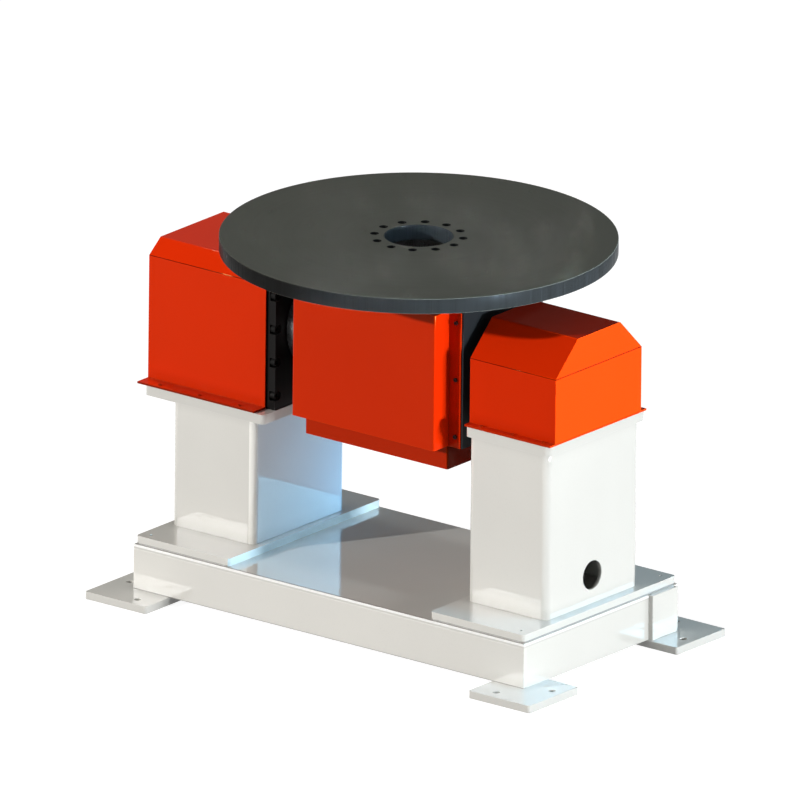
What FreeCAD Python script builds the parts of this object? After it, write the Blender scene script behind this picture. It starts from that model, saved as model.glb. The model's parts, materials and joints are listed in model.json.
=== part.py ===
import FreeCAD, Part

import math
import os

# Two-axis welding positioner: a round table that turns on a frame, which tilts between two columns.
# Lengths are in millimetres. X runs along the tilt axis, Y from front to back, Z up.
# The origin is on the floor, in the middle of the anchor holes.

V = FreeCAD.Vector
ALONG_X = V(1, 0, 0)
UP = V(0, 0, 1)
SIDES = (-1, 1)

# Clearances
running_gap = 0.05
screw_gap = 0.4
tapped_extra = 2.0
hex_share = 0.9

# Anchor holes and feet
end_anchor_x = 670.5
end_anchor_y = 266.0
front_anchor_x = 570.5
front_anchor_y = 364.0
anchor_radius = 9.0
foot_thickness = 20.0
foot_length = 193.5
foot_depth = 198.0
left_foot_margin = 41.0
right_foot_margin = 31.0
foot_margin_y = 34.0
foot_corner = 6.0

# Base box
base_y = 11.0
base_depth = 624.0
base_left_margin = 1.0
base_right_margin = 6.0
base_height = 118.0
base_wall = 12.0
deck_thickness = 12.0
deck_edge = 3.0
rib_count = 4
rib_thickness = 10.0
rib_hole_radius = 30.0
rib_hole_count = 3
pad_thickness = 14.0
pad_width = 99.0
pad_inset = 20.0

# Rotation axis, measured from the origin
axis_x = 15.0
axis_y = 14.0

# Columns, measured outwards from the rotation axis
column_foot_thickness = 20.0
column_foot_half_depth = 308.0
column_foot_corner = 10.0
column_foot_hole_radius = 4.25
column_foot_hole_inset = 29.5
column_foot_hole_edge = 26.0
column_half_depth = 185.5
column_wall = 10.0
column_corner = 18.0
head_thickness = 25.0
head_corner = 14.0
left_column_foot_inner = 352.0
left_column_foot_width = 295.0
left_column_inner = 371.0
left_column_width = 260.0
left_column_height = 337.0
left_head_inner = 318.0
left_head_width = 379.0
left_head_half_depth = 217.0
right_column_foot_inner = 288.0
right_column_foot_width = 298.0
right_column_inner = 308.5
right_column_width = 252.5
right_column_height = 437.0
right_head_inner = 305.0
right_head_width = 267.0
right_head_half_depth = 197.0
cable_hole_radius = 37.5
cable_hole_rise = 75.0

# Sheet metal hoods
sheet = 3.0
fold_radius = 5.0
hood_half_depth = 173.5
hood_flange_thickness = 5.0
hood_flange_edge = 12.0
hood_screw_count = 3
left_hood_length = 371.0
left_hood_wall = 327.5
left_hood_height = 364.0
left_hood_roof_half = 128.0
left_hood_flange = 43.5
left_hood_screw_inner = 56.5
left_hood_screw_outer = 62.5
left_hood_overlap = 3.0
right_hood_inner = 302.5
right_hood_length = 272.5
right_hood_wall = 174.0
right_hood_height = 260.5
right_hood_roof_half = 86.0
right_hood_flange = 21.5
right_hood_screw_inner = 44.5
right_hood_screw_outer = 31.0
hood_screw_radius = 3.0
hood_screw_head_radius = 4.8
hood_screw_head = 2.6
hood_screw_bite = 11.0

# Tilt axis, above the left head plate
tilt_axis_rise = 202.0

# Left support: bearing plate, gussets, reducer and motor
bearing_plate_inset = 3.0
bearing_plate_thickness = 30.0
bearing_plate_gap = 3.5
bearing_bore_radius = 105.0
gusset_thickness = 24.0
gusset_foot = 174.0
gusset_toe = 20.0
gusset_top = 54.0
gusset_height = 318.0
pocket_radius = 12.5
pocket_depth = 18.0
pocket_edge = 12.0
pocket_count = 4
pocket_pitch = 87.5
pocket_first = 36.0
plate_screw_radius = 7.0
plate_screw_head_radius = 10.5
plate_screw_head = 14.0
plate_screw_length = 40.0
reducer_flange_radius = 138.0
reducer_flange = 14.0
reducer_body_radius = 118.0
reducer_length = 94.0
reducer_nose = 22.0
reducer_end_wall = 10.0
reducer_screw_circle = 127.0
reducer_screw_count = 8
reducer_screw_radius = 5.0
reducer_screw_head_radius = 8.0
reducer_screw_head = 10.0
reducer_screw_bite = 15.0
reducer_rib_count = 8
reducer_rib_height = 6.0
reducer_rib_root = 10.0
reducer_rib_setback = 12.0
reducer_rib_width = 10.0
output_hub_radius = 80.0
output_flange_radius = 125.0
output_flange_gap = 3.0
output_hub_gap = 2.0
adapter_half = 75.0
adapter_length = 40.0
adapter_corner = 12.0
tilt_motor_half = 65.0
tilt_motor_length = 178.0

# Motors
motor_corner = 16.0
motor_flange = 14.0
motor_flange_corner = 4.0
motor_groove_depth = 5.0
motor_groove_width = 3.0
motor_groove_count = 6
motor_cap_length = 34.0
motor_cap_inset = 8.0
motor_cap_corner = 12.0
plug_box_length = 46.0
plug_box_width = 40.0
plug_box_height = 22.0
plug_radius = 10.0
plug_height = 20.0
plug_count = 2

# Right support: bearing block and bearing
block_start = 345.0
block_width = 90.0
block_radius = 100.0
block_foot_half = 152.0
block_foot_thickness = 28.0
block_foot_corner = 8.0
block_bolt_offset = 126.0
block_bolt_inset = 22.5
block_bolt_radius = 10.0
block_bolt_head_radius = 16.0
block_bolt_head = 12.0
block_bolt_bite = 17.5
bearing_outer_radius = 90.0
bearing_race_outer = 76.0
bearing_race_inner = 62.0
bearing_width = 46.0
roller_count = 12
roller_shorter = 6.0
cap_thickness = 9.0
cap_radius = 99.5
cap_screw_circle = 95.0
cap_screw_count = 6
cap_screw_radius = 2.5
cap_screw_head_radius = 4.25
cap_screw_head = 5.0
cap_screw_bite = 10.0
cap_nut_gap = 3.0
trunnion_radius = 50.0
trunnion_bore = 30.0
trunnion_shoulder = 6.0
trunnion_end = 6.0
trunnion_flange_radius = 100.0
trunnion_flange = 20.0
left_trunnion_screw_circle = 94.0
right_trunnion_screw_circle = 80.0
trunnion_screw_count = 6
trunnion_screw_radius = 8.0
trunnion_screw_head_radius = 12.0
trunnion_screw_head = 14.0
trunnion_screw_bite = 14.0
nut_radius = 66.0
nut_thickness = 16.0
nut_slot_count = 4
nut_slot_width = 10.0
nut_slot_depth = 6.0

# Tilting frame, measured from the tilt axis
frame_half_width = 270.0
frame_half_depth = 160.0
frame_drop = 179.0
side_plate_thickness = 25.0
side_plate_rise = 183.0
top_plate_thickness = 25.0
bottom_plate_thickness = 15.0
bottom_opening_half_x = 150.0
bottom_opening_half_y = 100.0
bottom_opening_corner = 20.0
cable_way_radius = 87.0
shelf_rise = 131.0
shelf_thickness = 15.0
shelf_web = 8.0
shelf_tongue_half = 62.0
shelf_tongue_edge = 3.0

# Orange covers of the tilting frame
cover_half_width = 226.0
cover_depth = 60.0
cover_drop = 179.0
cover_rise = 178.0
cover_flange_reach = 264.0
cover_screw_x = 249.0
cover_screw_pitch = 150.0
cover_screw_radius = 3.0
cover_screw_head_radius = 5.5
cover_screw_head = 3.5
cover_screw_length = 16.0
tray_left_reach = 229.5
tray_right_reach = 222.7
tray_depth = 64.0
tray_return = 22.0
tray_screw_x = 150.0
tray_screw_count = 3
tray_screw_reach = 2.0

# Table
table_rise = 285.0
table_radius = 500.0
table_thickness = 39.0
table_bore_gap = 3.0
table_edge = 1.0
table_screw_count = 12
table_pocket_radius = 11.0
table_pocket_depth = 24.0
table_screw_radius = 6.0
table_screw_head_radius = 9.0
table_screw_head = 12.0
table_screw_bite = 20.0

# Slewing bearing under the table
slew_ring_inset = 2.0
slew_roller_size = 10.0
slew_lip = 2.5
slew_ring_gap = 6.0
slew_lip_height = 7.0
slew_roller_count = 18
slew_screw_count = 8
slew_screw_radius = 5.0
slew_screw_head_radius = 8.0
slew_screw_head = 10.0
slew_screw_sink = 1.0
slew_screw_length = 30.0

# Table gear and pinion
gear_module = 4.0
gear_ratio = 4
gear_room = 10.0
pressure_angle = 20.0
tooth_root = 1.25
tooth_play = 0.35
gear_width = 24.0
pinion_extra = 2.0
gear_drop = 15.0
hub_step = 1.0
hub_bore_gap = 4.0
gear_screw_inset = 18.0
table_screw_inset = 8.0
slew_bore_inset = 30.0
gear_screw_count = 6
gear_screw_radius = 5.0
gear_screw_head_radius = 8.0
gear_screw_head = 6.0
pinion_shaft_radius = 12.0
spin_reducer_half = 55.0
spin_reducer_flange = 10.0
spin_reducer_corner = 10.0
spin_reducer_body_radius = 52.0
spin_reducer_length = 100.0
spin_reducer_pilot = 40.0
spin_reducer_pilot_height = 8.0
spin_shaft_depth = 30.0
spin_shaft_gap = 2.0
spin_motor_half = 52.0
spin_motor_length = 168.0

# Heights and places that follow from the sizes above
base_top = foot_thickness + base_height
column_foot_top = base_top + column_foot_thickness
left_head_bottom = column_foot_top + left_column_height
left_head_top = left_head_bottom + head_thickness
right_head_bottom = column_foot_top + right_column_height
right_head_top = right_head_bottom + head_thickness
tilt_z = left_head_top + tilt_axis_rise
left_foot_outer = left_column_foot_inner + left_column_foot_width
right_foot_outer = right_column_foot_inner + right_column_foot_width
base_left = axis_x - left_foot_outer - base_left_margin
base_right = axis_x + right_foot_outer + base_right_margin
bearing_plate_inner = left_head_inner + bearing_plate_inset
left_hood_inner = bearing_plate_inner + bearing_plate_thickness - left_hood_overlap
side_plate_top = tilt_z + side_plate_rise
frame_top = side_plate_top + top_plate_thickness
frame_bottom = tilt_z - frame_drop
shelf_top = tilt_z + shelf_rise
shelf_bottom = shelf_top - shelf_thickness
table_top = tilt_z + table_rise
table_bottom = table_top - table_thickness
gear_top = side_plate_top - gear_drop
gear_bottom = gear_top - gear_width
pinion_teeth = round(2 * (frame_half_depth - gear_room) / gear_module / (1 + gear_ratio))
gear_teeth = gear_ratio * pinion_teeth
gear_radius = gear_module * gear_teeth / 2
pinion_radius = gear_module * pinion_teeth / 2
pinion_reach = gear_radius + pinion_radius
pinion_y = axis_y - pinion_reach
shelf_tongue_reach = pinion_reach + spin_reducer_half + shelf_tongue_edge
hub_radius = gear_radius - tooth_root * gear_module - hub_step
gear_screw_circle = gear_radius - gear_screw_inset
table_screw_circle = gear_radius - table_screw_inset
slew_bore = gear_radius - slew_bore_inset
slew_race_inner = gear_radius + gear_module
slew_race_outer = slew_race_inner + slew_roller_size
slew_outer_radius = frame_half_depth - slew_ring_inset
slew_screw_circle = (slew_outer_radius + slew_race_outer) / 2
table_bore_radius = slew_bore - table_bore_gap
inner_frame_half = frame_half_width - side_plate_thickness
slew_inner_bottom = frame_top + slew_ring_gap
slew_outer_top = table_bottom - slew_ring_gap


def block(x, y, z):
    """A box from three (low, high) pairs."""
    return Part.makeBox(x[1] - x[0], y[1] - y[0], z[1] - z[0], V(x[0], y[0], z[0]))


def about(middle, half):
    """The range that reaches `half` to both sides of `middle`."""
    return (middle - half, middle + half)


def outward(side, start, length):
    """X range that starts `start` from the rotation axis and runs outwards on one side."""
    first = axis_x + side * start
    last = axis_x + side * (start + length)
    return (min(first, last), max(first, last))


def upright(x, y, z0, height, radius):
    """A round bar that stands on z0."""
    return Part.makeCylinder(radius, height, V(x, y, z0), UP)


def level(x0, length, radius, y=axis_y, z=tilt_z):
    """A round bar along X, on the tilt axis unless told otherwise."""
    return Part.makeCylinder(radius, length, V(x0, y, z), ALONG_X)


def tube_up(x, y, z, outer, inner):
    """An upright ring between two heights."""
    height = z[1] - z[0]
    return upright(x, y, z[0], height, outer).cut(upright(x, y, z[0], height, inner))


def tube_along(x, outer, inner):
    """A ring on the tilt axis between two X values."""
    length = x[1] - x[0]
    return level(x[0], length, outer).cut(level(x[0], length, inner))


def circle_spots(count, radius, middle, first=0.0):
    """Points evenly spaced on a circle, first angle in degrees."""
    for step in range(count):
        angle = math.radians(first + 360.0 * step / count)
        yield middle[0] + radius * math.cos(angle), middle[1] + radius * math.sin(angle)


def rounded_plate(x, y, z, radius):
    """A plate whose upright corners are rounded."""
    radius = min(radius, 0.45 * (x[1] - x[0]), 0.45 * (y[1] - y[0]))
    plate = block(x, y, z)
    edges = [edge for edge in plate.Edges if is_upright(edge)]
    return plate.makeFillet(radius, edges)


def is_upright(edge):
    """True for an edge that runs along Z."""
    first, last = edge.Vertexes[0].Point, edge.Vertexes[-1].Point
    return abs(first.z - last.z) > 0.9 * edge.Length


def runs_along_x(edge):
    """True for an edge that runs along X."""
    first, last = edge.Vertexes[0].Point, edge.Vertexes[-1].Point
    return abs(first.x - last.x) > 0.9 * edge.Length


def joined(first, rest):
    """One solid from a body and the lumps on it."""
    whole = first
    for piece in rest:
        whole = whole.fuse(piece)
    return whole.removeSplitter()


def without(body, cutters):
    """The body with all cutters taken away."""
    cutters = list(cutters)
    return body.cut(Part.makeCompound(cutters)) if cutters else body


def hex_bar(start, direction, across, length):
    """A six-sided bar from a point along a direction."""
    corner_radius = across / math.sqrt(3)
    turn = FreeCAD.Rotation(UP, direction)
    corners = []
    for step in range(7):
        angle = math.radians(60.0 * step)
        corner = V(corner_radius * math.cos(angle), corner_radius * math.sin(angle), 0)
        corners.append(start + turn.multVec(corner))
    return Part.Face(Part.makePolygon(corners)).extrude(direction * length)


def cap_screw(seat, direction, radius, head_radius, head, length):
    """A socket head screw: the head stands on the seat, the shank runs along the direction."""
    shank = Part.makeCylinder(radius, length, seat, direction)
    top = seat - direction * head
    body = shank.fuse(Part.makeCylinder(head_radius, head, top, direction))
    return body.removeSplitter().cut(hex_bar(top, direction, head_radius, head / 2))


def hex_screw(seat, direction, radius, head_radius, head, length):
    """A hexagon head screw."""
    shank = Part.makeCylinder(radius, length, seat, direction)
    top = seat - direction * head
    return shank.fuse(hex_bar(top, direction, 2 * head_radius * hex_share, head)).removeSplitter()


# Base


def foot(side_x, side_y):
    """A floor plate under one corner of the base, with two anchor holes."""
    margin = left_foot_margin if side_x < 0 else right_foot_margin
    outer_x = side_x * (end_anchor_x + margin)
    outer_y = side_y * (front_anchor_y + foot_margin_y)
    x = sorted((outer_x, outer_x - side_x * foot_length))
    y = sorted((outer_y, outer_y - side_y * foot_depth))
    plate = rounded_plate(x, y, (0.0, foot_thickness), foot_corner)
    spots = ((end_anchor_x, end_anchor_y), (front_anchor_x, front_anchor_y))
    holes = [upright(side_x * hx, side_y * hy, 0, foot_thickness, anchor_radius) for hx, hy in spots]
    return without(plate, holes)


def base_pieces():
    """Four wall plates, the deck, the cross ribs and the pad on the right end."""
    x = (base_left, base_right)
    y = about(base_y, base_depth / 2)
    z = (foot_thickness, base_top - deck_thickness)
    inner_y = about(base_y, base_depth / 2 - base_wall)
    deck = block(x, y, (z[1], base_top))
    top_edges = [e for e in deck.Edges if e.BoundBox.ZMin > base_top - 0.01]
    deck = deck.makeFillet(min(deck_edge, 0.4 * deck_thickness), top_edges)
    pad_y = (y[1] - pad_inset - pad_width, y[1] - pad_inset)
    return {
        "base_front_wall": block(x, (y[0], y[0] + base_wall), z),
        "base_rear_wall": block(x, (y[1] - base_wall, y[1]), z),
        "base_end_walls": Part.makeCompound(
            [block(wall_x, inner_y, z) for wall_x in ((x[0], x[0] + base_wall), (x[1] - base_wall, x[1]))]
        ),
        "base_deck": deck,
        "base_ribs": base_ribs(inner_y, z),
        "base_end_pad": block((x[1], x[1] + pad_thickness), pad_y, (foot_thickness, base_top)),
    }


def base_ribs(y, z):
    """Cross plates with lightening holes, evenly spaced along the base."""
    pitch = (base_right - base_left) / (rib_count + 1)
    hole_pitch = (y[1] - y[0]) / (rib_hole_count + 1)
    hole_z = (z[0] + z[1]) / 2
    hole_radius = min(rib_hole_radius, 0.35 * (z[1] - z[0]))
    ribs = []
    for step in range(rib_count):
        x0 = base_left + pitch * (step + 1) - rib_thickness / 2
        holes = [
            level(x0, rib_thickness, hole_radius, y[0] + hole_pitch * (spot + 1), hole_z)
            for spot in range(rib_hole_count)
        ]
        ribs.append(without(block((x0, x0 + rib_thickness), y, z), holes))
    return Part.makeCompound(ribs)


# Columns


def column_foot(side, inner, width):
    """The plate welded between base and column, with two small holes at its outer corners."""
    x = outward(side, inner, width)
    plate = rounded_plate(
        x, about(axis_y, column_foot_half_depth), (base_top, column_foot_top), column_foot_corner
    )
    hole_x = axis_x + side * (inner + width - column_foot_hole_inset)
    hole_y = column_foot_half_depth - column_foot_hole_edge
    holes = [
        upright(hole_x, axis_y + end * hole_y, base_top, column_foot_thickness, column_foot_hole_radius)
        for end in SIDES
    ]
    return without(plate, holes)


def column(side, inner, width, height):
    """A box tube with rounded upright edges."""
    x = outward(side, inner, width)
    z = (column_foot_top, column_foot_top + height)
    outside = rounded_plate(x, about(axis_y, column_half_depth), z, column_corner)
    hollow_x = (x[0] + column_wall, x[1] - column_wall)
    hollow_y = about(axis_y, column_half_depth - column_wall)
    return outside.cut(rounded_plate(hollow_x, hollow_y, z, max(column_corner - column_wall, 1.0)))


def right_column():
    """The right column has a round hole for the cables in its outer wall."""
    x = outward(1, right_column_inner, right_column_width)
    hole_z = column_foot_top + cable_hole_rise
    hole = level(x[1] - 2 * column_wall, 3 * column_wall, cable_hole_radius, axis_y, hole_z)
    return column(1, right_column_inner, right_column_width, right_column_height).cut(hole)


def head_plate(side, inner, width, half_depth, bottom):
    """The machined plate on top of a column."""
    z = (bottom, bottom + head_thickness)
    return rounded_plate(outward(side, inner, width), about(axis_y, half_depth), z, head_corner)


# Hoods


def house(half, wall, roof_half, height, gap):
    """The house-shaped outline of a hood in YZ, drawn `gap` inside its sheet, open downwards."""
    lean = math.atan2(half - roof_half, height - wall)
    wall_in = wall - gap * math.tan(lean / 2)
    roof_in = roof_half - gap * math.tan((math.pi / 2 - lean) / 2)
    right_half = [(half - gap, 0.0), (half - gap, wall_in), (roof_in, height - gap)]
    left_half = [(-y, z) for y, z in reversed(right_half)]
    return right_half + left_half


def prism(outline, x, base_z):
    """A YZ outline, measured from the rotation axis and a base height, drawn out along X."""
    points = [V(x[0], axis_y + y, base_z + z) for y, z in outline]
    return Part.Face(Part.makePolygon(points + points[:1])).extrude(V(x[1] - x[0], 0, 0))


def folded_prism(outline, x, base_z, radius):
    """The same with its upper folds rounded."""
    solid = prism(outline, x, base_z)
    folds = [e for e in solid.Edges if runs_along_x(e) and e.BoundBox.ZMin > base_z + 1.0]
    return solid.makeFillet(radius, folds)


def hood_screw_row(side, inner, length, first, last):
    """X of the screws along a hood, from the margins at its inner and outer end."""
    near = axis_x + side * (inner + first)
    far = axis_x + side * (inner + length - last)
    pitch = (far - near) / (hood_screw_count - 1)
    return [near + pitch * step for step in range(hood_screw_count)]


def hood_screw_spots(row, flange):
    """Where the screws go through the front and rear flange of a hood."""
    reach = hood_half_depth + flange - hood_flange_edge
    for end in SIDES:
        for screw_x in row:
            yield screw_x, axis_y + end * reach


def hood(x, closed_side, base_z, wall, roof_half, height, flange, row):
    """A folded sheet hood on a head plate: open below and at one end, flanged at front and back."""
    outline = house(hood_half_depth, wall, roof_half, height, 0.0)
    shell = folded_prism(outline, x, base_z, fold_radius)
    inner_x = (x[0] - 1.0, x[1] - sheet) if closed_side > 0 else (x[0] + sheet, x[1] + 1.0)
    inner_outline = house(hood_half_depth, wall, roof_half, height, sheet)
    shell = shell.cut(folded_prism(inner_outline, inner_x, base_z, fold_radius - sheet))
    z = (base_z, base_z + hood_flange_thickness)
    inner = hood_half_depth - sheet
    outer = hood_half_depth + flange
    shell = joined(
        shell,
        [
            block(x, (axis_y - outer, axis_y - inner), z),
            block(x, (axis_y + inner, axis_y + outer), z),
        ],
    )
    radius = hood_screw_radius + screw_gap
    spots = hood_screw_spots(row, flange)
    return without(shell, [upright(hx, hy, base_z, hood_flange_thickness, radius) for hx, hy in spots])


def hood_screws(row, base_z, flange):
    """The screws that hold a hood to its head plate."""
    seat_z = base_z + hood_flange_thickness
    length = hood_flange_thickness + hood_screw_bite
    return [
        hex_screw(
            V(hx, hy, seat_z), -UP, hood_screw_radius, hood_screw_head_radius, hood_screw_head, length
        )
        for hx, hy in hood_screw_spots(row, flange)
    ]


left_hood_x = outward(-1, left_hood_inner, left_hood_length)
right_hood_x = outward(1, right_hood_inner, right_hood_length)
left_hood_row = hood_screw_row(
    -1, left_hood_inner, left_hood_length, left_hood_screw_inner, left_hood_screw_outer
)
right_hood_row = hood_screw_row(
    1, right_hood_inner, right_hood_length, right_hood_screw_inner, right_hood_screw_outer
)


def tapped_head(plate, row, top, flange):
    """A head plate with the tapped holes for its hood screws."""
    depth = hood_screw_bite + tapped_extra
    radius = hood_screw_radius + running_gap
    return without(
        plate, [upright(hx, hy, top - depth, depth, radius) for hx, hy in hood_screw_spots(row, flange)]
    )


# Left support


def pocket_spots():
    """Y side and height of each counterbored screw pocket in the bearing plate."""
    for end in SIDES:
        for step in range(pocket_count):
            yield end, left_head_top + pocket_first + pocket_pitch * step


def plate_screw_y(end):
    """Y of the screw row at one edge of the bearing plate."""
    return axis_y + end * (bearing_plate_half() - pocket_edge)


def bearing_plate_half():
    """Half the depth of the bearing plate, which fits inside the hood."""
    return hood_half_depth - sheet - bearing_plate_gap


def bearing_plate():
    """The dark upright plate that carries the tilt reducer, closing the mouth of the left hood."""
    x = outward(-1, bearing_plate_inner, bearing_plate_thickness)
    gap = sheet + bearing_plate_gap
    outline = house(hood_half_depth, left_hood_wall, left_hood_roof_half, left_hood_height, gap)
    plate = prism(outline, x, left_head_top)
    cutters = [level(x[0], bearing_plate_thickness, bearing_bore_radius)]
    pocket_x = x[1] - pocket_depth
    for end, z in pocket_spots():
        y = plate_screw_y(end)
        edge_y = axis_y + end * (bearing_plate_half() + 1.0)
        cutters.append(level(pocket_x, pocket_depth, pocket_radius, y, z))
        cutters.append(block((pocket_x, x[1]), sorted((y, edge_y)), about(z, pocket_radius)))
        cutters.append(level(x[0], bearing_plate_thickness, plate_screw_radius + screw_gap, y, z))
    cutters.extend(reducer_tapped_holes(x))
    return without(plate, cutters)


def reducer_screw_spots():
    """Y and Z of the screws that hold the reducer to the bearing plate."""
    first = 180.0 / reducer_screw_count
    return circle_spots(reducer_screw_count, reducer_screw_circle, (axis_y, tilt_z), first)


def reducer_tapped_holes(x):
    """Tapped holes for the reducer screws, from the back of the bearing plate."""
    depth = reducer_screw_bite + tapped_extra
    radius = reducer_screw_radius + running_gap
    return [level(x[0], depth, radius, y, z) for y, z in reducer_screw_spots()]


def gussets():
    """Two upright cheeks behind the bearing plate, welded to the head plate."""
    back = axis_x - bearing_plate_inner - bearing_plate_thickness
    side = bearing_plate_half()
    foot_length_x = min(gusset_foot, left_head_width - bearing_plate_thickness)
    corners = (
        (0, 0),
        (foot_length_x, 0),
        (foot_length_x, gusset_toe),
        (gusset_top, gusset_height),
        (0, gusset_height),
    )
    cheeks = []
    for end in SIDES:
        y0 = axis_y + min(end * side, end * (side - gusset_thickness))
        points = [V(back - dx, y0, left_head_top + dz) for dx, dz in corners]
        cheek = Part.Face(Part.makePolygon(points + points[:1])).extrude(V(0, gusset_thickness, 0))
        depth = plate_screw_length - bearing_plate_thickness + pocket_depth + tapped_extra
        radius = plate_screw_radius + running_gap
        holes = [
            level(back - depth, depth, radius, plate_screw_y(end), z)
            for hole_end, z in pocket_spots()
            if hole_end == end and z < left_head_top + gusset_height - pocket_radius
        ]
        cheeks.append(without(cheek, holes))
    return Part.makeCompound(cheeks)


def plate_screws():
    """Socket screws in the pockets of the bearing plate."""
    seat_x = axis_x - bearing_plate_inner - pocket_depth
    return Part.makeCompound(
        [
            cap_screw(
                V(seat_x, plate_screw_y(end), z),
                -ALONG_X,
                plate_screw_radius,
                plate_screw_head_radius,
                plate_screw_head,
                plate_screw_length,
            )
            for end, z in pocket_spots()
            if z < left_head_top + gusset_height - pocket_radius
        ]
    )


def reducer_back():
    """X of the bearing plate's back face, where the reducer flange seats."""
    return axis_x - bearing_plate_inner - bearing_plate_thickness


def tilt_reducer_case():
    """The flanged case of the tilt reducer: nose in the plate bore, flange, ribbed body, end wall."""
    back = reducer_back()
    nose = level(back, reducer_nose, bearing_bore_radius - running_gap)
    flange = level(back - reducer_flange, reducer_flange, reducer_flange_radius)
    body = level(back - reducer_length, reducer_length, reducer_body_radius)
    case = joined(flange, [nose, body] + reducer_ribs(back))
    bore_length = reducer_length - reducer_end_wall + reducer_nose
    bore = level(back + reducer_nose - bore_length, bore_length, output_hub_radius + running_gap)
    holes = [
        level(back - reducer_flange, reducer_flange, reducer_screw_radius + screw_gap, y, z)
        for y, z in reducer_screw_spots()
    ]
    return without(case, [bore] + holes)


def reducer_ribs(back):
    """Short ribs between the flange and the body of the reducer case."""
    length = reducer_length - reducer_flange - reducer_rib_setback
    ribs = []
    for step in range(reducer_rib_count):
        radius = reducer_body_radius + reducer_rib_height
        rib = block(
            (back - reducer_flange - length, back - reducer_flange),
            about(axis_y, reducer_rib_width / 2),
            (tilt_z + reducer_body_radius - reducer_rib_root, tilt_z + radius),
        )
        rib.rotate(V(0, axis_y, tilt_z), ALONG_X, 360.0 * step / reducer_rib_count)
        ribs.append(rib)
    return ribs


def reducer_screws():
    """Screws through the reducer flange into the bearing plate."""
    seat_x = reducer_back() - reducer_flange
    length = reducer_flange + reducer_screw_bite
    return Part.makeCompound(
        [
            hex_screw(
                V(seat_x, y, z),
                ALONG_X,
                reducer_screw_radius,
                reducer_screw_head_radius,
                reducer_screw_head,
                length,
            )
            for y, z in reducer_screw_spots()
        ]
    )


def motor_adapter():
    """The square housing between reducer and tilt motor."""
    back = reducer_back() - reducer_length
    plate = block(
        (back - adapter_length, back), about(axis_y, adapter_half), about(tilt_z, adapter_half)
    )
    return plate.makeFillet(adapter_corner, [e for e in plate.Edges if runs_along_x(e)])


def motor(half, length):
    """A square servo motor that stands on Z = 0 and runs up; its flange is at the top."""
    body = rounded_plate(about(0, half), about(0, half), (motor_cap_length, length), motor_corner)
    flange_z = (length - motor_flange, length)
    flange = rounded_plate(about(0, half), about(0, half), flange_z, motor_flange_corner)
    cap_half = half - motor_cap_inset
    cap = rounded_plate(about(0, cap_half), about(0, cap_half), (0, motor_cap_length), motor_cap_corner)
    whole = joined(body, [flange, cap])
    reach = length - motor_flange - motor_cap_length - 2 * motor_corner
    pitch = reach / motor_groove_count
    grooves = []
    for step in range(motor_groove_count):
        z = motor_cap_length + motor_corner + pitch * (step + 0.5)
        ring = block(about(0, half + 1.0), about(0, half + 1.0), about(z, motor_groove_width / 2))
        core_half = half - motor_groove_depth
        core = rounded_plate(
            about(0, core_half), about(0, core_half), about(z, motor_groove_width), motor_corner
        )
        grooves.append(ring.cut(core))
    return without(whole, grooves)


def motor_plugs(half):
    """The connector box on the +X side of a standing motor, with its round sockets."""
    x = (half, half + plug_box_height)
    z0 = motor_cap_length + motor_corner
    box = block(x, about(0, plug_box_width / 2), (z0, z0 + plug_box_length))
    pitch = plug_box_length / plug_count
    sockets = [
        level(x[1], plug_height, plug_radius, 0, z0 + pitch * (step + 0.5)) for step in range(plug_count)
    ]
    return joined(box, sockets)


def laid_along_x(shape, x_top):
    """A standing motor turned so that its top points along +X and meets x_top on the tilt axis."""
    lying = shape.copy()
    lying.rotate(V(0, 0, 0), V(0, 1, 0), 90)
    lying.rotate(V(0, 0, 0), ALONG_X, 180)
    lying.translate(V(x_top - tilt_motor_length, axis_y, tilt_z))
    return lying


def tilt_drive():
    """Motor, adapter and connector box of the tilt drive."""
    motor_front = reducer_back() - reducer_length - adapter_length
    return {
        "tilt_motor_adapter": motor_adapter(),
        "tilt_motor": laid_along_x(motor(tilt_motor_half, tilt_motor_length), motor_front),
        "tilt_motor_plugs": laid_along_x(motor_plugs(tilt_motor_half), motor_front),
    }


# Right support


def block_x():
    """X range of the right bearing block."""
    return outward(1, block_start, block_width)


def bearing_x():
    """X range of the bearing, in the middle of its block."""
    x = block_x()
    return about((x[0] + x[1]) / 2, bearing_width / 2)


def block_bolt_spots():
    """X and Y of the bolts through the foot of the bearing block."""
    x = block_x()
    for bolt_x in (x[0] + block_bolt_inset, x[1] - block_bolt_inset):
        for end in SIDES:
            yield bolt_x, axis_y + end * block_bolt_offset


def bearing_block():
    """A plummer block: round body on a flanged foot, bored for the bearing."""
    x = block_x()
    body = level(x[0], block_width, block_radius)
    neck = block(x, about(axis_y, block_radius), (right_head_top, tilt_z))
    foot_z = (right_head_top, right_head_top + block_foot_thickness)
    base = rounded_plate(x, about(axis_y, block_foot_half), foot_z, block_foot_corner)
    whole = joined(base, [neck, body])
    radius = block_bolt_radius + screw_gap
    holes = [upright(bx, by, foot_z[0], block_foot_thickness, radius) for bx, by in block_bolt_spots()]
    bore = level(x[0], block_width, bearing_outer_radius)
    return without(whole, [bore] + holes + cap_screw_holes(x))


def cap_screw_spots():
    """Y and Z of the screws in the bearing caps."""
    middle = (axis_y, tilt_z)
    return circle_spots(cap_screw_count, cap_screw_circle, middle, 90.0)


def cap_screw_holes(x):
    """Tapped holes for the cap screws at both faces of the bearing block."""
    depth = cap_screw_bite + tapped_extra
    radius = cap_screw_radius + running_gap
    holes = []
    for y, z in cap_screw_spots():
        holes.append(level(x[0], depth, radius, y, z))
        holes.append(level(x[1] - depth, depth, radius, y, z))
    return holes


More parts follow.
